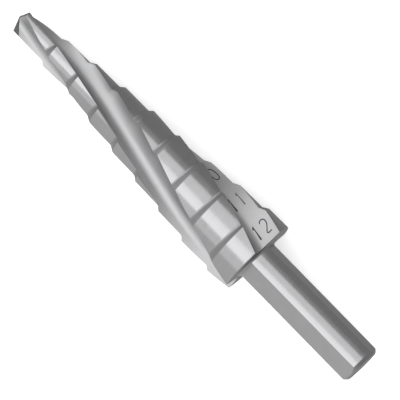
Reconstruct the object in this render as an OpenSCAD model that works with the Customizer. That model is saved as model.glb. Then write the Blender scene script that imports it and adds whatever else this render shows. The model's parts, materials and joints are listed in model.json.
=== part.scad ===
// Step drill for sheet metal, ground from one bar of high-speed steel.
// Nine cutting diameters stand one behind the other, three right-hand spiral flutes run through
// all of them, and the shank has three flats for the jaws of a chuck.
// The drill lies on the rims of its steps, as it comes to rest, with its point towards +X.

/* [Steps] */
// Diameter of the first step, which drills the starting hole
first_d = 4; // [3:0.5:6]
// How much wider each step is than the one before it
step_growth = 1; // [0.5:0.25:1.5]
// Number of steps
step_count = 9; // [4:1:11]
// Distance from the front rim of one step to the next
step_pitch = 5; // [3:0.5:8]
// Length of the first step with its point
first_l = 6.9; // [4:0.1:12]
// Length of the last step up to its back face
last_l = 3.6; // [2:0.2:8]
// Angle between a step's front shoulder and the drill's axis
shoulder_angle = 45; // [30:1:60]
// Share of its radius that each land loses from cutting edge to heel
land_relief = 0.05; // [0.02:0.01:0.08]

/* [Point] */
// Angle across the point, over both sides of the cone
point_angle = 135; // [110:1:140]
// Angle by which each point facet falls away behind its lip
lip_clearance = 13; // [10:1:18]
// Distance from the axis to the gash that carries each lip inwards
gash_offset = 0.12; // [0.06:0.02:0.3]
// Angle between the floor of a gash and the drill's axis
gash_angle = 32; // [25:1:45]

/* [Flutes] */
// Number of flutes and of cutting edges
flute_count = 3; // [2:1:3]
// Length in which a flute makes one whole turn
flute_lead = 108; // [70:2:200]
// Angle from the first shank flat to a cutting edge on its even helix, at the point
edge_clock = 80; // [0:1:120]
// Distance from the axis to the flute floor at the point
core_tip = 0.45; // [0.3:0.05:0.6]
// Height of the flute floor over the shank's surface at the back face
core_over_shank = 0.2; // [0.1:0.1:1]
// Radius in the corner of a flute at the point
corner_tip = 1.1; // [0.5:0.1:1.2]
// Radius in the corner of a flute at the back
corner_back = 1.6; // [0.8:0.1:1.8]
// Angle between the face and the floor of a flute at its back end
flute_angle = 84; // [80:1:92]
// How much wider a flute opens at the point
tip_opening = 32; // [0:1:35]
// How far the cutting edges turn ahead of their even helix at the point
tip_turn = 13; // [0:1:15]
// Length over which the extra opening and turn fade to about a third
tip_fade = 9; // [4:0.5:12]

/* [Shank] */
// Diameter of the shank
shank_d = 6; // [5:0.5:8]
// Length of the shank behind the last step
shank_l = 20; // [14:1:40]
// Depth of the three flats below the shank's surface
flat_depth = 0.35; // [0.2:0.05:0.6]
// Radius where the shank meets the last step
neck_r = 0.6; // [0.3:0.1:1]
// Width of the chamfer round the shank's end
end_chamfer = 0.5; // [0.2:0.1:1]
// Radius of the crown of that chamfer
chamfer_crown = 1; // [0.8:0.1:3]

/* [Hidden] */
$fn = 96;

// Length of the fluted part from the point to the back face, and of the whole drill
body_l = first_l + (step_count - 2) * step_pitch + last_l;
total_l = body_l + shank_l;
// Radius of the largest step, and the axial length of a shoulder
last_r = first_d / 2 + (step_count - 1) * step_growth / 2;
shoulder_l = step_growth / 2 / tan(shoulder_angle);
core_back = shank_d / 2 + core_over_shank;
// Extra length in front of the point that the point grinding takes away
point_stock = 1;
// Largest distance between two sections, and the segments along a land and a flute corner
section_gap = 1.25;
land_segments = 8;
corner_segments = 5;
// Narrowest land, as an angle, and the largest share of a radius that a flute's corner leaves
land_min = 3;
corner_reach = 0.95;
// Number of flats on the shank, the round left between their ends and the back face, and how
// far their grinding runs out past the shank's end
flat_count = 3;
flat_run_out = 0.3;
flat_overrun = 1;
// Depth to which the shank is rooted in the last step
root_l = 0.2;

// Radius of step i, and the distance of its front rim from the point
function step_r(i) = first_d / 2 + i * step_growth / 2;
function step_front(i) = i == 0 ? -point_stock : first_l + (i - 1) * step_pitch;
// Distance from the point to where step i ends, at the foot of the next shoulder
function step_end(i) = i == step_count - 1 ? body_l : step_front(i + 1) - shoulder_l;

// Share of the fluted length at distance s behind the point
function share(s) = max(s, 0) / body_l;
// Share of the point's extra opening and turn that is left there
function tip_share(s) = exp(-max(s, 0) / tip_fade);
// Distance from the axis to the flute floor, and the angle between a flute's face and its floor
function floor_at(s) = core_tip + (core_back - core_tip) * share(s);
function opening_at(s) = flute_angle + tip_opening * tip_share(s);
// Radius of the flute's corner, which leaves the rim of a step of radius r with a straight face
function corner_at(s, r) = min(
    corner_tip + (corner_back - corner_tip) * share(s),
    (corner_reach * r * sin(opening_at(s)) - floor_at(s)) / (1 + cos(opening_at(s)))
);
// Direction of cutting edge k, seen from the point
function edge_dir(s, k) =
    edge_clock - 360 * s / flute_lead + tip_turn * tip_share(s) + k * 360 / flute_count;
// Radius of a land's heel, and its angle ahead of the cutting edge of the land before it
function heel_r(r) = r * (1 - land_relief);
function heel_ahead(s, r) = min(
    opening_at(s) - 90 + acos(floor_at(s) / heel_r(r)),
    360 / flute_count - land_min
);

function polar(r, a) = [r * cos(a), r * sin(a)];
function turned(p, a) = [p.x * cos(a) - p.y * sin(a), p.x * sin(a) + p.y * cos(a)];

// One flute and the land after it: from the cutting edge down the face, round the corner,
// up the floor to the heel and along the relieved land, seen from the point
function lobe(s, r) =
    let (
        w = opening_at(s),
        c = corner_at(s, r),
        cx = (floor_at(s) + c * (1 + cos(w))) / sin(w),
        rh = heel_r(r),
        ah = heel_ahead(s, r)
    )
    concat(
        [[r, 0]],
        [for (i = [0:corner_segments])
            [cx, c] + polar(c, 270 - (180 - w) * i / corner_segments)],
        [for (i = [0:land_segments - 1])
            let (t = i / land_segments)
            polar(rh + (r - rh) * t, ah + (360 / flute_count - ah) * t)]
    );

// The whole section at distance s behind the point, as points in space
function section(s, r) =
    [for (k = [0:flute_count - 1], p = lobe(s, r))
        let (q = turned(p, edge_dir(s, k))) [q.x, q.y, total_l - s]];

// Sections from the point to the back, as pairs of a distance and a radius
function stations() =
    [for (i = [0:step_count - 1])
        let (a = step_front(i), b = step_end(i), n = ceil((b - a) / section_gap))
        for (j = [0:n]) [a + (b - a) * j / n, step_r(i)]];

// The fluted part: a loft through the sections, with fans across its two ends.
// Each end is a fan from the axis over the core and a fan over each land.
module fluted_body() {
    st = stations();
    rows = len(st);
    lobe_n = corner_segments + land_segments + 2;
    ring = lobe_n * flute_count;
    points = concat(
        [for (e = st) each section(e[0], e[1])],
        [[0, 0, total_l - st[0][0]], [0, 0, total_l - st[rows - 1][0]]]
    );
    sides = [for (i = [0:rows - 2], j = [0:ring - 1])
        let (a = i * ring, b = a + ring, n = (j + 1) % ring)
        each [[a + j, a + n, b + n], [a + j, b + n, b + j]]];
    // Triangles of an end, on the ring that starts at point a, round the middle point m
    function end_fan(a, m) = [for (k = [0:flute_count - 1])
        let (
            foot = a + k * lobe_n + 1,
            wall = foot + corner_segments,
            next_edge = a + ((k + 1) % flute_count) * lobe_n,
            next_foot = next_edge + 1,
            land = [for (i = [1:land_segments]) wall + i]
        )
        each concat(
            [for (i = [0:corner_segments - 1]) [m, foot + i + 1, foot + i]],
            [[m, next_foot, wall], [next_foot, land[0], wall]],
            [for (i = [1:land_segments - 1]) [next_foot, land[i], land[i - 1]]],
            [[next_foot, next_edge, land[land_segments - 1]]]
        )];
    front = end_fan(0, rows * ring);
    back = [for (f = end_fan((rows - 1) * ring, rows * ring + 1)) [f[0], f[2], f[1]]];
    polyhedron(points, concat(front, sides, back), convexity = 12);
}

// What the grinding of one point facet takes away: all that lies in front of the plane
// through a lip, which falls towards the heel behind it
module point_facet(k) {
    size = 4 * last_r;
    translate([0, 0, total_l])
        rotate([0, 0, edge_dir(0, k)])
            rotate([lip_clearance, 90 - point_angle / 2, 0])
                translate([-size / 2, -size / 2, 0])
                    cube(size);
}

// What the grinding of one gash takes away, so that lip k reaches in to the axis
module point_gash(k) {
    size = 2 * first_d;
    translate([0, 0, total_l])
        rotate([0, 0, edge_dir(0, k)])
            translate([gash_offset, 0, 0])
                rotate([0, -gash_angle, 0])
                    translate([0, 0, -size / 2])
                        cube(size);
}

// What the turning of the shank's end takes from its profile: the corner outside a chamfer
// that is slightly crowned
module end_corner() {
    half = end_chamfer / sqrt(2);
    inset = end_chamfer / 2 + sqrt((chamfer_crown * chamfer_crown - half * half) / 2);
    difference() {
        translate([shank_d / 2 - end_chamfer, 0])
            square(end_chamfer);
        translate([shank_d / 2 - inset, inset])
            circle(chamfer_crown);
    }
}

// The shank, with the round at its neck and the chamfer round its end
module shank() {
    r = shank_d / 2;
    rotate_extrude()
        difference() {
            polygon([
                [0, 0],
                [r, 0],
                [r, shank_l - neck_r],
                [r + neck_r, shank_l - neck_r],
                [r + neck_r, shank_l],
                [r, shank_l + root_l],
                [0, shank_l + root_l]
            ]);
            translate([r + neck_r, shank_l - neck_r])
                circle(neck_r);
            end_corner();
        }
}

// What the grinding of one flat takes from the shank, from beyond its end to just short of
// the back face
module shank_flat(k) {
    rotate([0, 0, k * 360 / flat_count])
        translate([shank_d / 2 - flat_depth, -shank_d, -flat_overrun])
            cube([shank_d, 2 * shank_d, flat_overrun + shank_l - flat_run_out]);
}

// The drill upright on its shank, with the point up
module upright_drill() {
    difference() {
        union() {
            fluted_body();
            shank();
        }
        for (k = [0:flute_count - 1]) {
            point_facet(k);
            point_gash(k);
        }
        for (k = [0:flat_count - 1])
            shank_flat(k);
    }
}

// Points on the rims of the upright drill, the last of them on the heel of the largest step
function rim_point(s, r, a) = [r * cos(a), r * sin(a), total_l - s];
function edge_point(i) = rim_point(step_front(i), step_r(i), edge_dir(step_front(i), rest_edge));
function heel_point(s) =
    rim_point(s, heel_r(last_r), edge_dir(s, rest_edge) + heel_ahead(s, last_r));
function unit(v) = v / norm(v);
// Every rim that can touch the ground or be the farthest to a side
rims = [
    for (e = stations()) if (e[0] > 0) each section(e[0], e[1]),
    [0, 0, total_l],
    for (a = [0:5:355]) each [
        [(shank_d / 2 - end_chamfer) * cos(a), (shank_d / 2 - end_chamfer) * sin(a), 0],
        [shank_d / 2 * cos(a), shank_d / 2 * sin(a), end_chamfer]
    ]
];
// How the drill lies. It rests on a cutting edge, at the fronts of the last two steps before
// the largest, and on the heel ahead of that edge on the largest step.
rest_edge = flute_count - 1;
rest_front = edge_point(step_count - 3);
rest_middle = edge_point(step_count - 2);
// Upward direction of a floor through the two fronts and a point on that heel, and how far the
// lowest rim would lie below such a floor
function floor_up(p) = let (n = unit(cross(rest_middle - rest_front, p - rest_front)))
    n * rest_front > 0 ? -n : n;
function sag(p) = let (n = floor_up(p)) n * rest_front - min([for (q = rims) n * q]);
heels = [for (e = stations()) if (e[1] == last_r) heel_point(e[0])];
sags = [for (p = heels) sag(p)];
rest_back = [for (i = [0:len(heels) - 1]) if (sags[i] == min(sags)) heels[i]][0];
// Directions of the row's axes in the upright drill: up, then towards the point, then across
rest_up = floor_up(rest_back);
rest_x = unit([0, 0, 1] - rest_up.z * rest_up);
rest_y = cross(rest_up, rest_x);
function laid(p) = [p * rest_x, p * rest_y, p * rest_up];
laid_rims = [for (p = rims) laid(p)];
function low(i) = min([for (p = laid_rims) p[i]]);
function high(i) = max([for (p = laid_rims) p[i]]);
// Shift that puts the middle of the laid drill over the origin and its lowest rim at zero
rest_shift = [-(low(0) + high(0)) / 2, -(low(1) + high(1)) / 2, -low(2)];

module step_drill() {
    color([0.67, 0.67, 0.68])
        multmatrix([
            [rest_x.x, rest_x.y, rest_x.z, rest_shift.x],
            [rest_y.x, rest_y.y, rest_y.z, rest_shift.y],
            [rest_up.x, rest_up.y, rest_up.z, rest_shift.z],
            [0, 0, 0, 1]
        ])
            upright_drill();
}

step_drill();
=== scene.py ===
"""Looks of the step drill: its ground steel surface, its size numerals and the studio round it.

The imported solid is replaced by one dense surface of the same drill, worked out from the same
sizes. Lengths in the classes are millimetres, angles are degrees, and s is the distance behind
the tip of the point. The drill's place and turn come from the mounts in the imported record.
"""

import json
import logging
import math
from dataclasses import dataclass, field
from enum import Enum, IntEnum
from typing import ClassVar

import bmesh
import bpy
import numpy as np
from mathutils import Matrix, Vector


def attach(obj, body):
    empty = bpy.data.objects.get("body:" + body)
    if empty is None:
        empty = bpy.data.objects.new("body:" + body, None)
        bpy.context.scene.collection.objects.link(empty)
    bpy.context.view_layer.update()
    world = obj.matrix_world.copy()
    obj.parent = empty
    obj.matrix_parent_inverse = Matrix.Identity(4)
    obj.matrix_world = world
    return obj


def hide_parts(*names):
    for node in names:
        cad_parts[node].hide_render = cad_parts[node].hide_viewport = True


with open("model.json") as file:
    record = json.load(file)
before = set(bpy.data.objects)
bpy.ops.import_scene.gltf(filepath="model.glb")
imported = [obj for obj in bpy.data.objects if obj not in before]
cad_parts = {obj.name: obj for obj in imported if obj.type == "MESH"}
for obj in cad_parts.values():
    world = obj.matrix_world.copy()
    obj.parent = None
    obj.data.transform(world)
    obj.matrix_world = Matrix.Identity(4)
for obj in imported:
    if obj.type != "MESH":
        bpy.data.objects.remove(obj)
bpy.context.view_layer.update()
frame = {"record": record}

LOG = logging.getLogger("step_drill")
MM = 0.001
# Metres below which points are merged, and below which a distance counts as none
MERGE = 1e-7
TINY = 1e-8
Floats = np.ndarray
Colour = tuple[float, float, float]
Object = bpy.types.Object
Tree = bpy.types.NodeTree


class Zone(IntEnum):
    """Parts of the drill that are ground in different ways, each with a material slot. Some slots'
    tints are painted light or shade.
    """

    LAND = 0
    SHOULDER = 1
    FLUTE = 2
    POINT = 3
    BACK = 4
    SHANK = 5
    FLAT = 6
    GASH = 7


class Grain(Enum):
    """Ways of the grinding lines, each as factors of the coordinates round and along it."""

    AROUND = (0.02, 1.0, 1.0)
    ALONG = (1.0, 0.02, 1.0)


class Operation(Enum):
    """What is done with a solid: it is joined to a piece, or cut away from it."""

    JOIN = "UNION"
    CUT = "DIFFERENCE"


def unit(v: Floats) -> Floats:
    """Gives v scaled to length one."""
    return v / np.linalg.norm(v)


def mount(name: str) -> dict:
    """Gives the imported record's mount of that name."""
    return next(m for m in frame["record"]["mounts"] if m["name"] == name)


def shares(count: int) -> Floats:
    """Gives the shares of a length at count even steps, from the first step to the whole."""
    return np.linspace(0, 1, count + 1)[1:]


@dataclass(frozen=True)
class DrillPlace:
    """Where the drill lies: its tip, the direction of its axis and two directions across it."""

    tip: Floats
    along: Floats
    across: Floats
    third: Floats

    @staticmethod
    def from_record(total_l: float) -> "DrillPlace":
        """Reads the place from the mounts of the shank.

        Args:
            total_l: length of the drill in mm.

        Returns:
            The place, in metres, with along from the shank to the tip and across square to
            the first shank flat.
        """
        end = mount("shank_end")
        along = unit(-np.array(end["axis"], float))
        across = np.array(mount("shank_flat_1")["axis"], float)
        across = unit(across - along * (across @ along))
        tip = np.array(end["pos_m"], float) + along * total_l * MM
        return DrillPlace(tip, along, across, np.cross(along, across))

    def direction(self, angle: float) -> Floats:
        """Gives the direction at an angle round the axis, counted as seen from the point."""
        a = math.radians(angle)
        return math.cos(a) * self.across + math.sin(a) * self.third

    def points(self, x: Floats, y: Floats, s: Floats) -> Floats:
        """Puts points into the frame.

        Args:
            x: distances along the first direction across, in mm.
            y: distances along the second direction across, in mm.
            s: distances behind the tip, in mm.

        Returns:
            An array of points in metres, one per element of the broadcast inputs.
        """
        x, y, s = np.broadcast_arrays(x, y, s)
        flat = np.stack([x.ravel(), y.ravel(), -s.ravel()], axis=1) * MM
        return self.tip + flat @ np.stack([self.across, self.third, self.along])


def make_piece(
    name: str,
    points: Floats,
    faces: list[Floats],
    zones: Floats | None = None,
    uv: Floats | None = None,
) -> Object:
    """Makes a mesh object from arrays, and merges points that coincide.

    Args:
        name: name of the object and its mesh.
        points: points in metres, one row each.
        faces: blocks of faces, each an array with one row of point numbers for a face.
        zones: one material number for each face.
        uv: one pair of coordinates for each corner of each face, in the order of the faces.

    Returns:
        The object, linked to the scene, with its place in its mesh.
    """
    mesh = bpy.data.meshes.new(name)
    mesh.from_pydata(points.tolist(), [], [face for block in faces for face in block.tolist()])
    if zones is not None:
        mesh.polygons.foreach_set("material_index", zones.astype(np.int32))
    if uv is not None:
        layer = mesh.uv_layers.new(name="grind")
        layer.data.foreach_set("uv", uv.astype(np.float32).ravel())
    piece = bpy.data.objects.new(name, mesh)
    bpy.context.scene.collection.objects.link(piece)
    bm = bmesh.new()
    bm.from_mesh(mesh)
    bmesh.ops.remove_doubles(bm, verts=bm.verts, dist=MERGE)
    bmesh.ops.dissolve_degenerate(bm, edges=bm.edges, dist=TINY)
    bm.to_mesh(mesh)
    bm.free()
    return piece


def grid_faces(rows: int, ring: int) -> Floats:
    """Gives the quads of a grid that closes on itself along its rings.

    Quad (i, j) joins points j and j + 1 of ring i to the same two points of ring i + 1, with
    the ring's count taken round. Its normal points outwards where the rings run anticlockwise
    as seen from the first ring.

    Args:
        rows: number of rings.
        ring: number of points in a ring.

    Returns:
        One row of four point numbers for each quad.
    """
    i, j = np.meshgrid(np.arange(rows - 1), np.arange(ring), indexing="ij")
    n = (j + 1) % ring
    quads = np.stack([i * ring + j, i * ring + ring + j, i * ring + ring + n, i * ring + n], -1)
    return quads.reshape(-1, 4)


def grid_uv(u: Floats, u_end: Floats, v: Floats) -> Floats:
    """Gives each corner of grid_faces its pair of coordinates.

    Args:
        u: coordinate round the ring for each point, as rows by ring.
        u_end: coordinate of each ring's first point after a whole turn.
        v: coordinate along the rows for each point, as rows by ring.

    Returns:
        Pairs in the order of the corners of grid_faces.
    """
    nu = np.concatenate([u[:, 1:], u_end[:, None]], axis=1)
    nv = np.concatenate([v[:, 1:], v[:, :1]], axis=1)
    corners = [(u[:-1], v[:-1]), (u[1:], v[1:]), (nu[1:], nv[1:]), (nu[:-1], nv[:-1])]
    return np.stack([np.stack(c, -1) for c in corners], axis=2).reshape(-1, 2)


@dataclass
class FlutedBody:
    """The stepped body with its flutes, from the point to the back face."""

    # The steps
    first_d: float = 4.0
    step_growth: float = 1.0
    step_count: int = 9
    step_pitch: float = 5.0
    first_l: float = 6.9
    last_l: float = 3.6
    shoulder_l: float = 0.5
    land_relief: float = 0.05
    root_r: float = 0.6
    rim_set_back: float = 0.13
    foot_advance: float = 0.18
    # The point, and the stock that its facets grind away
    point_stock: float = 1.0
    point_angle: float = 135.0
    lip_clearance: float = 13.0
    gash_offset: float = 0.12
    gash_angle: float = 43.0
    gash_hook: float = 12.0
    # The flutes, whose core and corner grow from the tip to the back face
    flute_count: int = 3
    flute_lead: float = 108.0
    edge_clock: float = 80.0
    core_tip: float = 0.45
    core_back: float = 3.2
    corner_tip: float = 1.1
    corner_back: float = 1.6
    corner_reach: float = 0.95
    flute_angle: float = 84.0
    tip_opening: float = 32.0
    tip_turn: float = 13.0
    tip_fade: float = 9.0
    land_min: float = 3.0
    # The hollow of the flute floors, and the distances over which it starts and ends
    floor_bow: float = 20.0
    bow_starts: tuple[float, float] = (6.0, 14.0)
    bow_ends: tuple[float, float] = (30.0, 37.0)
    # Numbers of points in a lobe's parts, and of rows in a step and a root
    face_n: int = 6
    corner_n: int = 14
    floor_n: int = 9
    land_n: int = 26
    step_rows: int = 10
    root_rows: int = 5

    @property
    def body_l(self) -> float:
        """Gives the length from the tip to the back face."""
        return self.first_l + (self.step_count - 2) * self.step_pitch + self.last_l

    @property
    def lobe_pitch(self) -> float:
        """Gives the angle from one cutting edge to the next, in radians."""
        return 2 * math.pi / self.flute_count

    @property
    def lobe_parts(self) -> list[slice]:
        """Gives the columns of a lobe's face, corner, floor and land."""
        ends = np.cumsum([0, self.face_n, self.corner_n, self.floor_n, self.land_n]).tolist()
        return [slice(a, b) for a, b in zip(ends, ends[1:])]

    def step_r(self, i: int) -> float:
        """Gives the radius of step i."""
        return self.first_d / 2 + i * self.step_growth / 2

    def step_front(self, i: int) -> float:
        """Gives the distance of the front rim of step i from the tip."""
        return -self.point_stock if i == 0 else self.first_l + (i - 1) * self.step_pitch

    def grow(self, at_tip: float, at_back: float, s: Floats) -> Floats:
        """Gives a size that grows evenly from the tip to the back face, at distance s."""
        return at_tip + (at_back - at_tip) * np.maximum(s, 0) / self.body_l

    def floor_at(self, s: Floats) -> Floats:
        """Gives the distance of the flute floor from the axis."""
        return self.grow(self.core_tip, self.core_back, s)

    def tip_share(self, s: Floats) -> Floats:
        """Gives the share of the point's extra opening and turn that is left at distance s."""
        return np.exp(-np.maximum(s, 0) / self.tip_fade)

    def opening_at(self, s: Floats) -> Floats:
        """Gives the angle between a flute's face and its floor, in radians."""
        return np.radians(self.flute_angle + self.tip_opening * self.tip_share(s))

    def corner_at(self, s: Floats, r: Floats) -> Floats:
        """Gives the radius of the flute's corner, which leaves the rim a straight face.

        Args:
            s: distances behind the tip.
            r: radii of the step there.

        Returns:
            The radii of the corner.
        """
        w = self.opening_at(s)
        most = (self.corner_reach * r * np.sin(w) - self.floor_at(s)) / (1 + np.cos(w))
        return np.minimum(self.grow(self.corner_tip, self.corner_back, s), most)

    def edge_dir(self, s: Floats, k: Floats | int = 0) -> Floats:
        """Gives the direction of cutting edge k at distance s, in radians."""
        turn = self.tip_turn * self.tip_share(s) - 360 * s / self.flute_lead
        return np.radians(self.edge_clock + turn + k * 360 / self.flute_count)

    def heel_ahead(self, s: Floats, r: Floats) -> Floats:
        """Gives the angle from a cutting edge ahead to the heel of the next land, in radians.

        Args:
            s: distances behind the tip.
            r: radii of the step there.

        Returns:
            The angles, each of which leaves the land at least land_min.
        """
        heel_r = r * (1 - self.land_relief)
        reach = self.opening_at(s) - math.pi / 2 + np.arccos(self.floor_at(s) / heel_r)
        return np.minimum(reach, self.lobe_pitch - math.radians(self.land_min))

    def bow_at(self, s: Floats) -> Floats:
        """Gives the angle by which a flute's floor is hollow at its ends, in radians.

        It rises smoothly over the first range of distances and falls over the second, as
        3 t^2 - 2 t^3 of the share t of each range.

        Args:
            s: distances behind the tip.

        Returns:
            The angles.
        """
        rise = np.clip((s - self.bow_starts[0]) / np.ptp(self.bow_starts), 0, 1)
        fall = np.clip((self.bow_ends[1] - s) / np.ptp(self.bow_ends), 0, 1)
        smooth = (3 * rise**2 - 2 * rise**3) * (3 * fall**2 - 2 * fall**3)
        return np.radians(self.floor_bow) * smooth

    def floor_span(self, s: Floats, r: Floats) -> tuple[Floats, Floats]:
        """Gives where a flute's floor starts and ends, as distances along its chord.

        The chord lies at floor_at(s) from the axis. It ends at the heel, and starts where the
        corner has turned to the chord's direction but for the bow.

        Args:
            s: distances behind the tip.
            r: radii of the step there.

        Returns:
            The starts and the ends.
        """
        w = self.opening_at(s)
        heel_r = r * (1 - self.land_relief)
        end = heel_r * np.sin(self.heel_ahead(s, r) - w + math.pi / 2)
        foot = self.corner_at(s, r) * (1 + np.cos(w + self.bow_at(s)))
        return (foot + self.floor_at(s) * np.cos(w)) / np.sin(w), end

    def over_floor(
        self, s: Floats, r: Floats, y: Floats, height: Floats | float = 0.0
    ) -> tuple[Floats, Floats]:
        """Gives points over a flute's floor in the frame of the cutting edge.

        The floor is a parabola over its chord. At the share t of the chord it is hollow by
        t (1 - t) times the chord times the tangent of the bow.

        Args:
            s: distances behind the tip.
            r: radii of the step there.
            y: distances along the floor's chord.
            height: distance over the floor.

        Returns:
            x and y of the points.
        """
        w = self.opening_at(s)
        start, end = self.floor_span(s, r)
        t = (y - start) / (end - start)
        depth = (end - start) * np.tan(self.bow_at(s)) * t * (1 - t)
        out = self.floor_at(s) + height - depth
        return out * np.sin(w) + y * np.cos(w), -out * np.cos(w) + y * np.sin(w)

    def lobe(self, s: Floats, r: Floats) -> tuple[Floats, Floats]:
        """Works out one flute and its land in the frame of the cutting edge.

        The outline runs from the cutting edge [r, 0] down the radial face, round the corner
        arc of radius c, up the floor to the heel, and along the land, whose radius grows
        evenly with the angle from the heel to the next cutting edge. The floor goes on
        smoothly from the arc.

        Args:
            s: distances behind the tip, as rows by the points of a lobe.
            r: radii of the step at those points, of the same shape.

        Returns:
            x and y of the points, x along the cutting edge's direction, y ahead of the face.
        """
        face, corner, floor, land = self.lobe_parts
        w, bow, c = self.opening_at(s), self.bow_at(s), self.corner_at(s, r)
        start, end = self.floor_span(s, r)
        centre = self.floor_at(s) * np.sin(w) + start * np.cos(w) + c * np.sin(w + bow)
        x, y = np.zeros_like(s), np.zeros_like(s)

        t = np.arange(self.face_n) / self.face_n
        x[:, face] = r[:, face] + (centre - r)[:, face] * t

        t = np.arange(self.corner_n) / (self.corner_n - 1)
        turn = 1.5 * math.pi - (math.pi - w - bow)[:, corner] * t
        x[:, corner] = centre[:, corner] + c[:, corner] * np.cos(turn)
        y[:, corner] = c[:, corner] + c[:, corner] * np.sin(turn)

        chord = start[:, floor] + (end - start)[:, floor] * shares(self.floor_n)
        x[:, floor], y[:, floor] = self.over_floor(s[:, floor], r[:, floor], chord)

        t = np.arange(1, self.land_n + 1) / (self.land_n + 1)
        heel, heel_r = self.heel_ahead(s, r), r * (1 - self.land_relief)
        turn = heel[:, land] + (self.lobe_pitch - heel[:, land]) * t
        reach = heel_r[:, land] + (r - heel_r)[:, land] * t
        x[:, land], y[:, land] = reach * np.cos(turn), reach * np.sin(turn)
        return x, y

    def set_back_share(self) -> Floats:
        """Gives each point of a lobe its share of set-back: none at an edge, one at a heel.

        Returns:
            One share for each point.
        """
        rise = np.linspace(0, 1, self.lobe_parts[-1].start, endpoint=False)
        rise[-1] = 1
        fall = 1 - np.arange(1, self.land_n + 1) / (self.land_n + 1)
        return np.concatenate([rise, fall])

    def stations(self) -> Floats:
        """Lists the sections from the point to the back face.

        A step is even along its land. The root before the next shoulder is an arc of radius
        root_r, tangent to the land and to the shoulder, and the shoulder runs on to the rim.

        Returns:
            Rows of the distance s, the radius r, the distance by which the section is further
            back at a heel than at a cutting edge, and a mark that is 1 where a shoulder starts.
        """
        slope = math.atan2(self.step_growth / 2, self.shoulder_l)
        root_l = self.root_r * math.tan(slope / 2)
        rows = []
        for i in range(self.step_count):
            last = i == self.step_count - 1
            r, front = self.step_r(i), self.step_front(i)
            end = self.body_l if last else self.step_front(i + 1) - self.shoulder_l - root_l
            set_back = self.rim_set_back if i > 0 else 0
            rows += [(front + (end - front) * j / self.step_rows, r, set_back if j == 0 else 0, 0)
                     for j in range(self.step_rows)]
            if last:
                rows.append((end, r, 0, 0))
            else:
                rows += [(end + self.root_r * math.sin(a), r + self.root_r * (1 - math.cos(a)),
                          -self.foot_advance, 1)
                         for a in np.linspace(0, slope, self.root_rows + 1).tolist()]
        return np.array(rows, float)

    def build(self, place: DrillPlace) -> Object:
        """Makes the closed body, with stock left in front of the point.

        Each section is the lobe, once for each flute, turned by the direction of its edge.

        Args:
            place: where the drill lies.

        Returns:
            The body as one closed mesh.
        """
        s_row, r_row, set_back, shoulder = self.stations().T
        s = s_row[:, None] + set_back[:, None] * self.set_back_share()
        x, y = self.lobe(s, np.broadcast_to(r_row[:, None], s.shape))
        turn = self.edge_dir(s[:, None], np.arange(self.flute_count)[:, None])
        rows = len(s_row)
        x3 = (x[:, None] * np.cos(turn) - y[:, None] * np.sin(turn)).reshape(rows, -1)
        y3 = (x[:, None] * np.sin(turn) + y[:, None] * np.cos(turn)).reshape(rows, -1)
        s3 = np.tile(s, self.flute_count)
        ring = x3.shape[1]

        mid_x, mid_y = x3[rows // 2], y3[rows // 2]
        step = np.hypot(np.roll(mid_x, -1) - mid_x, np.roll(mid_y, -1) - mid_y)
        u = np.broadcast_to(np.append(0, np.cumsum(step)[:-1]), (rows, ring))
        caps_uv = [np.stack([x3[0], y3[0]], 1), np.stack([x3[-1], y3[-1]], 1)[::-1]]
        uv = np.vstack([grid_uv(u, np.full(rows, step.sum()), s3), *caps_uv])

        on_land = np.arange(ring) % s.shape[1] >= self.lobe_parts[-1].start - 1
        zone = np.where(on_land, Zone.LAND, Zone.FLUTE)
        zone = np.where(on_land & (shoulder[:-1, None] > 0), Zone.SHOULDER, zone)
        zones = np.append(zone.ravel(), [Zone.POINT, Zone.BACK])

        first = np.arange(ring)[None]
        faces = [grid_faces(rows, ring), first, first[:, ::-1] + (rows - 1) * ring]
        return make_piece("drill_body", place.points(x3, y3, s3), faces, zones, uv)

    def rim_reach(self, angle: Floats, s: float) -> Floats:
        """Gives how far the section at distance s reaches from the axis, at angles in radians.

        Args:
            angle: angles round the axis, in radians.
            s: distance behind the tip.

        Returns:
            The reach in mm at each angle.
        """
        last_r = self.step_r(self.step_count - 1)
        size = np.full((1, self.lobe_parts[-1].stop), float(s))
        x, y = self.lobe(size, np.full_like(size, last_r))
        turn = np.arctan2(y[0], x[0])
        turn = np.append(np.where(turn < -1e-9, turn + 2 * math.pi, turn), self.lobe_pitch)
        reach = np.append(np.hypot(x[0], y[0]), last_r)
        inside = np.mod(angle - self.edge_dir(np.array(s)), self.lobe_pitch)
        foot = self.face_n - 1
        return np.interp(inside, turn[foot:], reach[foot:])


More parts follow.
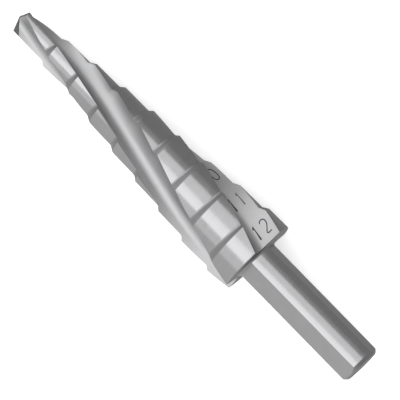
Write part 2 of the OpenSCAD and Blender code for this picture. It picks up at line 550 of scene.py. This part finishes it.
@dataclass
class Shank:
    """The round shank with three flats, the round at its neck and the chamfer at its end."""

    shank_d: float = 6.0
    shank_l: float = 20.0
    flat_count: int = 3
    flat_depth: float = 0.35
    flat_run_out: float = 0.3
    # The neck's arc, how far it turns, and its gap to the rims of the flutes
    neck_r: float = 0.6
    neck_turn: float = 88.0
    rim_gap: float = 0.01
    # The chamfer, the share of the end face inside its last ring, and the edge's tiny break
    end_chamfer: float = 0.5
    end_share: float = 0.98
    end_break: tuple[float, float] = (0.004, 0.002)
    # The root inside the body
    root_l: float = 0.3
    root_taper: float = 0.15
    # Numbers of points in a flat and a round, and of rows
    flat_n: int = 12
    round_n: int = 30
    chamfer_rows: int = 8
    chamfer_crowding: float = 1.6
    straight_rows: int = 24
    neck_rows: int = 6

    def profile(self) -> Floats:
        """Lists the shank's sections.

        From the end upwards: the end face, the chamfer at 45 degrees, the straight shank and
        the neck, an arc of radius neck_r that ends nearly square to the axis.

        Returns:
            Rows of height, radius and a mark that is 1 where flats are cut.
        """
        r, c = self.shank_d / 2, self.end_chamfer
        neck = self.shank_l - self.neck_r
        rows = [(0, 0.0, 1), (0, (r - c) * self.end_share, 1),
                (self.end_break[0], r - c + self.end_break[1], 1)]
        meet_z, meet_r = c - self.flat_depth, r - self.flat_depth
        rows += [(meet_z + (c - meet_z) * t, meet_r + (r - meet_r) * t, 1)
                 for t in np.linspace(0, 1, self.chamfer_rows + 1) ** self.chamfer_crowding]
        rows += [(c + (neck - c) * t, r, 1) for t in shares(self.straight_rows)]
        n, stop = self.neck_rows, math.asin(1 - self.flat_run_out / self.neck_r)
        turns = [*(stop * shares(n)), *np.linspace(stop, math.radians(self.neck_turn), n + 1)]
        rows += [(neck + self.neck_r * math.sin(a), r + self.neck_r * (1 - math.cos(a)), i < n)
                 for i, a in enumerate(turns)]
        root = self.shank_l + self.root_l
        return np.array([*rows, (root, r - self.root_taper, 0), (root, 0.0, 0)])

    def build(self, place: DrillPlace, body: FlutedBody) -> Object:
        """Makes the closed shank, rooted in the body.

        A ring is three flats and three rounds. A flat reaches to both sides of its middle by
        the angle whose cosine is the flat's distance over the radius. Where the flutes run
        out through the neck, the reach is cut down to theirs.

        Args:
            place: where the drill lies.
            body: the body that the shank carries.

        Returns:
            The shank as one closed mesh.
        """
        z, r, cut = (column[:, None] for column in self.profile().T)
        shank_r = self.shank_d / 2
        flat_r = shank_r - self.flat_depth
        pitch = 2 * math.pi / self.flat_count
        half = np.arccos(np.minimum(1, flat_r / np.maximum(r, flat_r)))
        side = np.arctan(np.tan(half) * np.linspace(-1, 1, self.flat_n))
        flat = np.where((cut > 0) & (r > flat_r), flat_r / np.cos(side), r)
        between = half + (pitch - 2 * half) * np.linspace(0, 1, self.round_n + 2)[1:-1]
        one = np.hstack([side, between])
        angle = np.hstack([k * pitch + one for k in range(self.flat_count)])
        rho = np.tile(np.hstack([flat, np.broadcast_to(r, between.shape)]), self.flat_count)
        s = body.body_l + self.shank_l - z
        for i in np.nonzero((z > self.shank_l - self.neck_r) & (r > shank_r))[0]:
            rim = body.rim_reach(angle[i], float(s[i, 0]))
            rho[i] = np.minimum(rho[i], rim - self.rim_gap)

        rows, ring = rho.shape
        u = angle * shank_r
        along = np.broadcast_to(s + shank_r - r, rho.shape)
        uv = grid_uv(u, u[:, 0] + math.pi * self.shank_d, along)
        uv = uv.reshape(-1, 4, 2)[:, ::-1].reshape(-1, 2)
        in_flat = np.tile(np.arange(one.shape[1]) < self.flat_n, self.flat_count)
        in_flat &= np.roll(in_flat, -1)
        on_flat = in_flat & ((cut > 0) & (r >= flat_r) & (z > 0))[:-1]
        zones = np.where(on_flat, Zone.FLAT, Zone.SHANK).ravel()
        points = place.points(rho * np.cos(angle), rho * np.sin(angle), s)
        return make_piece("drill_shank", points, [grid_faces(rows, ring)[:, ::-1]], zones, uv)


def share_slots(piece: Object, other: Object) -> None:
    """Gives a piece the same material slots as another, and keeps its faces' slot numbers.

    Args:
        piece: the piece that gets the slots.
        other: the piece that has them.
    """
    faces = piece.data.polygons
    zones = np.empty(len(faces), np.int32)
    faces.foreach_get("material_index", zones)
    piece.data.materials.clear()
    for material in other.data.materials:
        piece.data.materials.append(material)
    faces.foreach_set("material_index", zones)


def combine(piece: Object, tool: Object, operation: Operation) -> None:
    """Joins a tool to a piece, or cuts it away, with the exact solver, and deletes the tool.

    Both meshes are a thousand times larger meanwhile, because the solver merges points that
    are a thousandth of a millimetre apart.

    Args:
        piece: the piece that is changed.
        tool: the solid that is joined to it or cut away.
        operation: which of the two is done.
    """
    share_slots(tool, piece)
    for item in (piece, tool):
        item.data.transform(Matrix.Scale(1 / MM, 4))
    step = piece.modifiers.new("combine", "BOOLEAN")
    step.operation, step.solver, step.object = operation.value, "EXACT", tool
    graph = bpy.context.evaluated_depsgraph_get()
    mesh = bpy.data.meshes.new_from_object(piece.evaluated_get(graph))
    piece.modifiers.clear()
    old, piece.data = piece.data, mesh
    mesh.transform(Matrix.Scale(MM, 4))
    mesh.name = old.name
    bpy.data.meshes.remove(old)
    tool_mesh = tool.data
    bpy.data.objects.remove(tool)
    bpy.data.meshes.remove(tool_mesh)


@dataclass
class PointGrinding:
    """The three facets of the point and the three gashes that carry the lips to the axis."""

    body: FlutedBody
    place: DrillPlace

    def local(self, k: int) -> tuple[Floats, Floats, Floats]:
        """Gives the directions out along lip k, ahead of it, and along the axis."""
        a = math.degrees(float(self.body.edge_dir(np.array(0.0), k)))
        return self.place.direction(a), self.place.direction(a + 90), self.place.along

    def grind_facets(self, piece: Object) -> None:
        """Cuts the body off at the three facet planes, each through the tip.

        A plane falls outwards by half the point angle and backwards by the lip clearance.

        Args:
            piece: the body.
        """
        b = math.radians(90 - self.body.point_angle / 2)
        a = math.radians(self.body.lip_clearance)
        bm = bmesh.new()
        bm.from_mesh(piece.data)
        for k in range(self.body.flute_count):
            out, ahead, up = self.local(k)
            normal = (math.cos(a) * math.sin(b) * out - math.sin(a) * ahead
                      + math.cos(a) * math.cos(b) * up)
            bmesh.ops.bisect_plane(
                bm, geom=bm.verts[:] + bm.edges[:] + bm.faces[:], dist=TINY,
                plane_co=Vector(self.place.tip), plane_no=Vector(normal), clear_outer=True,
            )
            rim = [e for e in bm.edges if e.is_boundary]
            made = bmesh.ops.holes_fill(bm, edges=rim, sides=0)
            for face in made["faces"]:
                face.material_index = Zone.POINT
        bm.to_mesh(piece.data)
        bm.free()

    def grind_gashes(self, piece: Object) -> None:
        """Cuts the three gashes, each a box with one edge along the foot of its lip.

        The box is turned about the lip by the hook, so that its side undercuts the lip.

        Args:
            piece: the body.
        """
        size = 2 * self.body.first_d * MM
        a, hook = math.radians(self.body.gash_angle), math.radians(self.body.gash_hook)
        steps = np.indices((2, 2, 2)).reshape(3, -1).T
        quads = np.array([[0, 1, 3, 2], [4, 6, 7, 5], [0, 4, 5, 1],
                          [2, 3, 7, 6], [0, 2, 6, 4], [1, 5, 7, 3]])
        for k in range(self.body.flute_count):
            out, front, axis = self.local(k)
            ahead = math.cos(hook) * front - math.sin(hook) * axis
            up = math.cos(hook) * axis + math.sin(hook) * front
            side = math.cos(a) * out + math.sin(a) * up
            rise = -math.sin(a) * out + math.cos(a) * up
            corner = self.place.tip + out * self.body.gash_offset * MM - rise * size / 2
            points = corner + size * (steps @ np.stack([side, ahead, rise]))
            box = make_piece("gash", points, [quads], np.full(len(quads), Zone.GASH))
            combine(piece, box, Operation.CUT)


class Sock:
    """A shader socket with arithmetic: an expression on values adds its Math nodes."""

    def __init__(self, tree: Tree, socket: bpy.types.NodeSocket) -> None:
        """Keeps the node tree and the socket."""
        self.tree, self.socket = tree, socket

    def math(self, operation: str, *others: "Sock | float", first: bool = True) -> "Sock":
        """Adds a Math node of an operation, with this socket first or last.

        Args:
            operation: the node's operation.
            others: the other values or sockets.
            first: whether this socket comes first.

        Returns:
            The node's output, wrapped.
        """
        values = [self, *others] if first else [*others, self]
        inputs = dict(enumerate(values))
        return add_node(self.tree, "ShaderNodeMath", {"operation": operation}, inputs)

    def __add__(self, other: "Sock | float") -> "Sock":
        """Gives self + other."""
        return self.math("ADD", other)

    def __radd__(self, other: float) -> "Sock":
        """Gives other + self."""
        return self.math("ADD", other, first=False)

    def __sub__(self, other: "Sock | float") -> "Sock":
        """Gives self - other."""
        return self.math("SUBTRACT", other)

    def __rsub__(self, other: float) -> "Sock":
        """Gives other - self."""
        return self.math("SUBTRACT", other, first=False)

    def __mul__(self, other: "Sock | float") -> "Sock":
        """Gives self * other."""
        return self.math("MULTIPLY", other)

    def __rmul__(self, other: float) -> "Sock":
        """Gives other * self."""
        return self.math("MULTIPLY", other, first=False)


def fill(node: bpy.types.Node, inputs: dict) -> None:
    """Sets or links a node's inputs, by their names or numbers.

    Args:
        node: the node.
        inputs: values or sockets by the input's name or number.
    """
    for key, value in inputs.items():
        if isinstance(value, Sock):
            value.tree.links.new(value.socket, node.inputs[key])
        else:
            node.inputs[key].default_value = value


def add_node(
    tree: Tree,
    kind: str,
    settings: dict | None = None,
    inputs: dict | None = None,
    output: int | str = 0,
) -> Sock:
    """Adds any node.

    Args:
        tree: the node tree.
        kind: the node's type.
        settings: properties that are set first.
        inputs: values or sockets by the name or number of the node's inputs.
        output: the output that is given back.

    Returns:
        The chosen output, wrapped.
    """
    node = tree.nodes.new(kind)
    for key, value in (settings or {}).items():
        setattr(node, key, value)
    fill(node, inputs or {})
    return Sock(tree, node.outputs[output])


def tinted(tree: Tree, tint: Colour, tone: Sock) -> Sock:
    """Gives a colour made lighter or darker by a tone that is about one.

    Args:
        tree: the node tree.
        tint: the colour.
        tone: the tone.

    Returns:
        The colour's socket.
    """
    grey = add_node(tree, "ShaderNodeCombineColor", None, {0: tone, 1: tone, 2: tone})
    return add_node(
        tree, "ShaderNodeMix", {"data_type": "RGBA", "blend_type": "MULTIPLY"},
        {"Factor": 1.0, 6: (*tint, 1), 7: grey}, 2,
    )


@dataclass(frozen=True)
class GroundSteel:
    """A ground steel finish, with lines left by the grinding wheel.

    The lines follow the piece's own coordinates in mm: u round the drill, v along it. There
    are fine lines, broad ones, and a cloud that varies slowly in all directions. The broad
    lines and the cloud change the tone and the roughness by up to about the spread.
    """

    name: str
    tint: Colour = (0.32, 0.32, 0.325)
    roughness: float = 0.2
    spread: float = 0.08
    grain: Grain = Grain.AROUND
    fine_pitch: float = 0.05
    broad_pitch: float = 0.3
    cloud_scale: float = 0.6
    line_depth: float = 0.00028

    def make(self) -> bpy.types.Material:
        """Makes the material.

        Returns:
            A node material whose colour, roughness and bump vary over the surface.
        """
        material = bpy.data.materials.new(self.name)
        material.use_nodes = True
        tree = material.node_tree
        place = add_node(tree, "ShaderNodeUVMap", {"uv_map": "grind"})
        fine = self.noise(tree, place, 1 / self.fine_pitch, self.grain.value, 2)
        broad = self.noise(tree, place, 1 / self.broad_pitch, self.grain.value, 3)
        cloud = self.noise(tree, place, self.cloud_scale, (1, 1, 1), 3)
        drift = (cloud + broad - 1) * self.spread
        normal = add_node(
            tree, "ShaderNodeBump", None,
            {"Strength": 1.0, "Distance": self.line_depth * MM, "Height": fine + broad},
        )
        fill(tree.nodes["Principled BSDF"], {
            "Base Color": tinted(tree, self.tint, 1 + drift), "Metallic": 1.0,
            "Roughness": self.roughness + drift, "Normal": normal,
        })
        return material

    @staticmethod
    def noise(
        tree: Tree, place: Sock, scale: float, stretch: Colour, detail: float
    ) -> Sock:
        """Adds noise over stretched coordinates, about 0.5 in the mean.

        Args:
            tree: the node tree.
            place: the coordinates.
            scale: scale of the noise.
            stretch: factors of the coordinates.
            detail: number of finer layers.

        Returns:
            The noise's socket.
        """
        at = add_node(tree, "ShaderNodeMapping", None, {"Vector": place, "Scale": stretch})
        return add_node(
            tree, "ShaderNodeTexNoise", {"noise_dimensions": "2D"},
            {"Vector": at, "Scale": scale, "Detail": detail},
        )


@dataclass(frozen=True)
class EngravedMark:
    """The dark, rough floor of an engraved stroke."""

    name: str = "engraved_mark"
    tint: Colour = (0.03, 0.03, 0.032)
    roughness: float = 0.6
    metallic: float = 0.6
    grain_scale: float = 6000.0
    tone_spread: float = 0.8

    def make(self) -> bpy.types.Material:
        """Makes the material, with a little variation of its darkness.

        Returns:
            The material.
        """
        material = bpy.data.materials.new(self.name)
        material.use_nodes = True
        tree = material.node_tree
        place = add_node(tree, "ShaderNodeTexCoord", None, None, "Object")
        noise = add_node(tree, "ShaderNodeTexNoise", None,
                         {"Vector": place, "Scale": self.grain_scale, "Detail": 2.0})
        tone = 1 + (noise - 0.5) * self.tone_spread
        colour = tinted(tree, self.tint, tone)
        fill(tree.nodes["Principled BSDF"],
             {"Base Color": colour, "Roughness": self.roughness, "Metallic": self.metallic})
        return material


FINISHES = {
    Zone.LAND: GroundSteel("ground_land"),
    # The shoulders' tint is darker than the lands' as painted shade, so they mirror less of the
    # lights.
    Zone.SHOULDER: GroundSteel("ground_shoulder_painted_shade", (0.27, 0.27, 0.275), 0.42),
    # The flutes' tint is paler than the lands' as painted light, which brightens the flute walls.
    Zone.FLUTE: GroundSteel("ground_flute_painted_light", (0.37, 0.37, 0.375), 0.48, grain=Grain.ALONG),
    # The point's facets get a much darker tint than the lands as painted shade.
    Zone.POINT: GroundSteel("ground_point_painted_shade", (0.2, 0.2, 0.205), 0.3, grain=Grain.ALONG),
    Zone.BACK: GroundSteel("ground_back", roughness=0.3),
    Zone.SHANK: GroundSteel("ground_shank", roughness=0.22),
    Zone.FLAT: GroundSteel("ground_flat", roughness=0.3, grain=Grain.ALONG, line_depth=0.00012),
    # The gashes get the darkest tint as painted shade at the point.
    Zone.GASH: GroundSteel("ground_gash_painted_shade", (0.15, 0.15, 0.153), 0.36, grain=Grain.ALONG),
}


@dataclass
class SizeNumerals:
    """The engraved size numbers, one behind the front of each step, on one flute's floor.

    Where the floor is narrower than full_span, the digits are narrower by the same share.
    """

    body: FlutedBody
    edge: int = 1
    height: float = 2.0
    least_height_share: float = 0.8
    digit_w: float = 0.95
    digit_pitch: float = 1.47
    full_span: float = 1.7
    from_heel: float = 1.2
    # Widths of the strokes of a last digit, and of a first one deep in the corner
    stroke: float = 0.15
    deep_stroke: float = 0.24
    # Distance behind a step's front, and what stands for the front of the first step
    behind_rim: float = 0.63
    first_front: float = 2.4
    first_span_at: float = 1.5
    # How far the bars stand out of the floor and reach into it
    proud: float = 0.012
    sunk: float = 0.03
    # What limits the widening at a bend, and the share of the corner that a digit may use
    least_cos: float = 0.6
    corner_share: float = 0.95
    rounds: int = 2

    STRAIGHT: ClassVar[str] = "147"
    # The bends of each digit's stroke: x and y in hundredths of its width and height
    GLYPHS: ClassVar[dict[str, list[int]]] = {
        "0": [50, 0, 82, 6, 100, 30, 100, 70, 82, 94, 50, 100, 18, 94, 0, 70, 0, 30, 18, 6, 50, 0],
        "1": [30, 16, 50, 0, 50, 100],
        "2": [0, 16, 12, 2, 50, 0, 84, 6, 96, 28, 86, 50, 4, 100, 100, 100],
        "4": [72, 100, 72, 0, 0, 70, 100, 70],
        "5": [92, 0, 14, 0, 6, 44, 50, 38, 88, 46, 100, 68, 85, 92, 48, 100, 12, 94, 0, 80],
        "6": [86, 4, 50, 6, 16, 30, 0, 66, 14, 92, 50, 100, 86, 93, 100, 70, 86, 48, 50, 42,
              14, 50, 0, 66],
        "7": [0, 0, 100, 0, 42, 100],
        "8": [50, 46, 16, 38, 8, 20, 20, 5, 50, 0, 80, 5, 92, 20, 84, 38, 50, 46, 14, 54, 0, 74,
              14, 94, 50, 100, 86, 94, 100, 74, 86, 54, 50, 46],
        "9": [14, 96, 50, 94, 84, 70, 100, 34, 86, 8, 50, 0, 14, 7, 0, 30, 14, 52, 50, 58,
              86, 50, 100, 34],
    }

    def smooth(self, digit: str) -> Floats:
        """Gives the points of a digit's stroke, with its round parts subdivided.

        Each corner is cut twice at a quarter and three quarters of its sides, so that a chain
        of points becomes a soft curve. The straight digits keep their corners.

        Args:
            digit: the digit.

        Returns:
            Points in shares of the digit's width and height.
        """
        pts = np.reshape(self.GLYPHS[digit], (-1, 2)) / 100
        closed = np.allclose(pts[0], pts[-1])
        for _ in range(0 if digit in self.STRAIGHT else self.rounds):
            a, b = pts[:-1], pts[1:]
            cut = np.stack([a * 0.75 + b * 0.25, a * 0.25 + b * 0.75], 1).reshape(-1, 2)
            pts = np.vstack([cut, cut[:1]]) if closed else np.vstack([pts[:1], cut, pts[-1:]])
        return pts

    def bar(self, path: Floats, width: float) -> tuple[Floats, Floats]:
        """Gives the two sides of a stroke of even width along a path in the wall's plane.

        Each side is the path moved by half the width, square to the mean of the directions of
        the two segments that meet there.

        Args:
            path: points of the stroke's middle line in mm.
            width: width of the stroke.

        Returns:
            The points of the two sides.
        """
        step = np.diff(path, axis=0)
        step /= np.linalg.norm(step, axis=1, keepdims=True)
        closed = np.allclose(path[0], path[-1])
        before = np.vstack([step[-1:] if closed else step[:1], step])
        after = np.vstack([step, step[:1] if closed else step[-1:]])
        mean = before + after
        mean /= np.maximum(np.linalg.norm(mean, axis=1, keepdims=True), 1e-6)
        across = np.stack([-mean[:, 1], mean[:, 0]], 1)
        widening = 1 / np.maximum(np.sum(mean * after, axis=1), self.least_cos)
        shift = across * (width / 2 * widening)[:, None]
        return path - shift, path + shift

    def wall(
        self, s: Floats, y: Floats, r: float, height: float
    ) -> tuple[Floats, Floats, Floats]:
        """Gives points at a height over the flute floor that carries the numbers.

        Where a digit reaches into the corner, by a length b, the floor rises over its chord by
        c - sqrt(c^2 - b^2), with c the radius of the corner.

        Args:
            s: distances behind the tip.
            y: distances along the floor's chord.
            r: radius of the step.
            height: distance over the floor.

        Returns:
            x, y and s of the points.
        """
        size = np.full_like(s, r)
        c = self.body.corner_at(s, size)
        into = np.clip(self.body.floor_span(s, size)[0] - y, 0, self.corner_share * c)
        rise = c - np.sqrt(c**2 - into**2)
        x, y = self.body.over_floor(s, size, y, height + rise)
        a = self.body.edge_dir(s, self.edge)
        return x * np.cos(a) - y * np.sin(a), x * np.sin(a) + y * np.cos(a), s

    def last_digit(self, i: int) -> tuple[float, float]:
        """Gives the middle of a number's last digit across the wall, and its share of full size.

        The wall is flat from the end of the corner to the heel, at the front of step i.

        Args:
            i: number of the step, from 0.

        Returns:
            The middle and the share.
        """
        front = max(self.body.step_front(i), self.first_span_at)
        s = np.array(front + self.behind_rim + self.height / 2)
        low, high = self.body.floor_span(s, np.array(self.body.step_r(i)))
        size = min(1.0, float(high - low) / self.full_span)
        return float(high) - self.from_heel * size, size

    def stroke_points(self, i: int, path: Floats, middle: float, width: float) -> Floats:
        """Gives the rings of four points of one bar along a path on the wall of step i.

        Args:
            i: number of the step, from 0.
            path: points of the stroke's middle line in mm.
            middle: the digit's middle across the wall.
            width: width of the stroke.

        Returns:
            Rows of x, y and s.
        """
        r = self.body.step_r(i)
        front = self.body.step_front(i) if i else self.first_front
        left, right = self.bar(path, width)
        sides = ((left, -self.sunk), (left, self.proud), (right, self.proud), (right, -self.sunk))
        return np.stack([
            np.stack(self.wall(front + self.behind_rim + side[:, 1], middle + side[:, 0], r, lift), 1)
            for side, lift in sides
        ], 1).reshape(-1, 3)

    def build(self, place: DrillPlace) -> Object:
        """Makes all numbers as thin closed bars, sunk into the floor and barely over it.

        Args:
            place: where the drill lies.

        Returns:
            The numbers as one mesh.
        """
        points, faces, count = [], [], 0
        for i in range(self.body.step_count):
            label = str(round(2 * self.body.step_r(i)))
            last, size = self.last_digit(i)
            scale = (self.digit_w * size, self.height * max(size, self.least_height_share))
            for n, digit in enumerate(label, start=1 - len(label)):
                path, width = self.smooth(digit), self.deep_stroke if n else self.stroke
                m, closed = len(path), np.allclose(path[0], path[-1])
                path = (path - [0.5, 0]) * scale
                points.append(self.stroke_points(i, path, last + n * self.digit_pitch, width))
                quads = grid_faces(m, 4)
                ends = np.array([[0, 1, 2, 3], [4 * m - 1, 4 * m - 2, 4 * m - 3, 4 * m - 4]])
                faces.append(count + (quads if closed else np.vstack([quads, ends])))
                count += 4 * m
        piece = make_piece("size_numerals", place.points(*np.vstack(points).T), faces)
        bm = bmesh.new()
        bm.from_mesh(piece.data)
        bmesh.ops.recalc_face_normals(bm, faces=bm.faces)
        bm.to_mesh(piece.data)
        bm.free()
        piece.data.materials.append(EngravedMark().make())
        return piece


@dataclass
class Drill:
    """The whole drill: body, point, shank and numerals."""

    body: FlutedBody = field(default_factory=FlutedBody)
    shank: Shank = field(default_factory=Shank)
    sharp_from: float = 24.0

    @property
    def place(self) -> DrillPlace:
        """Gives where the drill lies."""
        return DrillPlace.from_record(self.body.body_l + self.shank.shank_l)

    def build(self) -> list[Object]:
        """Makes the pieces.

        Returns:
            The drill and its numerals.
        """
        drill = self.body.build(self.place)
        for zone in Zone:
            drill.data.materials.append(FINISHES[zone].make())
        grinding = PointGrinding(self.body, self.place)
        grinding.grind_facets(drill)
        grinding.grind_gashes(drill)
        combine(drill, self.shank.build(self.place, self.body), Operation.JOIN)
        drill.name = drill.data.name = "step_drill_surface"
        self.shade(drill)
        return [drill, SizeNumerals(self.body).build(self.place)]

    def shade(self, piece: Object) -> None:
        """Shades a piece smooth, with its ground edges kept sharp.

        Args:
            piece: the piece.
        """
        mesh = piece.data
        mesh.polygons.foreach_set("use_smooth", np.ones(len(mesh.polygons), bool))
        mesh.set_sharp_from_angle(angle=math.radians(self.sharp_from))


@dataclass(frozen=True)
class Softbox:
    """A soft light with a flat face, aimed at the drill.

    Its place is given by two angles from the camera's side of the drill: side leans to the
    right of the drill's axis, front leans towards the point. Its sizes are in metres.
    """

    name: str
    side: float
    front: float
    distance: float
    width: float
    length: float
    radiance: float


SOFTBOXES = (
    Softbox("overhead", -19, 0, 0.6, 0.36, 1.05, 1.75),
    Softbox("overhead_right", 14.5, 0, 0.62, 0.36, 1.05, 1.18),
    Softbox("right", 41, 0, 0.62, 0.22, 1.05, 0.18),
    Softbox("front_right", 30, 45, 0.6, 0.42, 0.16, 2.7),
    Softbox("left", -50, -8, 0.6, 0.34, 0.85, 0.5),
    Softbox("back_left", -60, -30, 0.6, 0.9, 0.25, 0.7),
    Softbox("point_end", 0, 70, 0.8, 1.2, 0.5, 0.35),
)


@dataclass
class Studio:
    """The floor, the lights and the camera."""

    place: DrillPlace
    # The camera, and the middle of its picture
    view_turn: float = 45.0
    view_lean: float = 7.0
    roll_cos: float = 0.6993
    roll_sin: float = 0.7149
    focus_s: float = 34.7
    focus_off: float = 0.06
    field_mm: float = 53.05
    distance: float = 0.5
    sensor_mm: float = 36.0
    clip: tuple[float, float] = (0.01, 10.0)
    # The light of the room
    room: float = 0.43
    window: float = 0.62
    shade: float = 0.2
    shade_from: float = 0.93
    # The floor, a hair below the drill
    floor_size: float = 3.0
    floor_gap: float = 2e-6
    floor_tone: float = 0.8
    floor_roughness: float = 0.9
    floor_gloss: float = 0.1
    floor_glow: float = 0.4

    def axes(self) -> tuple[Floats, Floats, Floats]:
        """Gives the directions to the camera's side, to the right and to the point."""
        return (self.place.direction(self.view_turn), self.place.direction(self.view_turn + 90),
                self.place.along)

    def focus(self) -> Floats:
        """Gives the point on the drill that stands in the middle of the picture."""
        _, right, _ = self.axes()
        return self.place.tip - self.place.along * self.focus_s * MM + right * self.focus_off * MM

    @staticmethod
    def stand(
        name: str, data: bpy.types.ID, x: Floats, y: Floats, z: Floats, at: Floats
    ) -> Object:
        """Puts a camera or a light into the scene, with its three axes and its place.

        Args:
            name: name of the object.
            data: the camera or the light.
            x: direction to its right.
            y: direction to its top.
            z: direction to its back.
            at: its place in metres.

        Returns:
            The object, linked to the scene.
        """
        item = bpy.data.objects.new(name, data)
        bpy.context.scene.collection.objects.link(item)
        item.matrix_world = Matrix(np.vstack([np.stack([x, y, z, at], 1), [0, 0, 0, 1]]).tolist())
        return item

    def add_camera(self) -> None:
        """Adds the camera, with the point of the drill at the upper left of the picture."""
        up0, right0, along = self.axes()
        t = math.radians(self.view_lean)
        back = math.cos(t) * up0 - math.sin(t) * along
        lean = math.cos(t) * along + math.sin(t) * up0
        right = -self.roll_cos * lean + self.roll_sin * right0
        up = self.roll_sin * lean + self.roll_cos * right0
        data = bpy.data.cameras.new("camera")
        data.sensor_width = self.sensor_mm
        data.lens = self.sensor_mm * self.distance / (self.field_mm * MM)
        data.clip_start, data.clip_end = self.clip
        eye = self.focus() + back * self.distance
        bpy.context.scene.camera = self.stand("camera", data, right, up, back, eye)

    def add_softbox(self, box: Softbox) -> None:
        """Adds one light.

        Its length lies along the drill as far as its aim lets it. The power is pi times the
        face's area times the radiance that it shows.

        Args:
            box: the light's place, sizes and radiance.
        """
        up0, right0, along = self.axes()
        a, b = math.radians(box.side), math.radians(box.front)
        out = math.cos(b) * (math.cos(a) * up0 + math.sin(a) * right0) + math.sin(b) * along
        data = bpy.data.lights.new(box.name, "AREA")
        data.shape = "RECTANGLE"
        data.size, data.size_y = box.width, box.length
        data.energy = math.pi * box.width * box.length * box.radiance
        y = unit(along - out * (along @ out))
        self.stand(box.name, data, np.cross(y, out), y, out, self.focus() + out * box.distance)

    def add_floor(self) -> None:
        """Adds the pale floor, a large quad at the height on which the drill rests.

        It glows a little and the steel doesn't mirror it, so that the drill's reflections are
        those of a drill photographed free of a floor.
        """
        h = self.floor_size / 2
        points = np.array([[-h, -h, 0], [h, -h, 0], [h, h, 0], [-h, h, 0]]) - [0, 0, self.floor_gap]
        floor = make_piece("floor", points, [np.array([[0, 1, 2, 3]])])
        material = bpy.data.materials.new("pale_floor")
        material.use_nodes = True
        fill(material.node_tree.nodes["Principled BSDF"], {
            "Base Color": (self.floor_tone,) * 3 + (1,), "Roughness": self.floor_roughness,
            "Specular IOR Level": self.floor_gloss, "Emission Color": (1, 1, 1, 1),
            "Emission Strength": self.floor_glow,
        })
        floor.data.materials.append(material)
        floor.visible_glossy = False

    def add_world(self) -> None:
        """Sets the light of the room: even grey, paler to the left, and dark straight down.

        The strength is room, plus window times the part of the direction that points to the
        left of the drill. From the depth shade_from to straight down it falls to shade.
        """
        world = bpy.data.worlds.new("room")
        world.use_nodes = True
        tree = world.node_tree
        _, right, _ = self.axes()
        at = add_node(tree, "ShaderNodeTexCoord", None, None, "Generated")
        to_left = add_node(tree, "ShaderNodeVectorMath", {"operation": "DOT_PRODUCT"},
                           {0: at, 1: tuple(-right)}, "Value")
        height = add_node(tree, "ShaderNodeSeparateXYZ", None, {"Vector": at}, "Z")
        light = self.room + to_left.math("MAXIMUM", 0.0) * self.window
        below = (0 - height - self.shade_from).math("MAXIMUM", 0.0) * (1 / (1 - self.shade_from))
        light = light - below * (light - self.shade)
        fill(tree.nodes["Background"], {"Color": (1, 1, 1, 1), "Strength": light})
        bpy.context.scene.world = world

    def build(self) -> None:
        """Sets up the whole studio."""
        self.add_floor()
        self.add_world()
        self.add_camera()
        for box in SOFTBOXES:
            self.add_softbox(box)
        bpy.context.scene.view_settings.view_transform = "Standard"


def main() -> None:
    """Builds the drill and the studio, and logs the pieces' face counts."""
    logging.basicConfig(level=logging.INFO, format="%(name)s: %(message)s")
    drill = Drill()
    pieces = drill.build()
    for piece in pieces:
        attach(piece, "root")
        LOG.info("%s: %d faces", piece.name, len(piece.data.polygons))
    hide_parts("step_drill")
    Studio(drill.place).build()


if __name__ == "__main__":
    main()
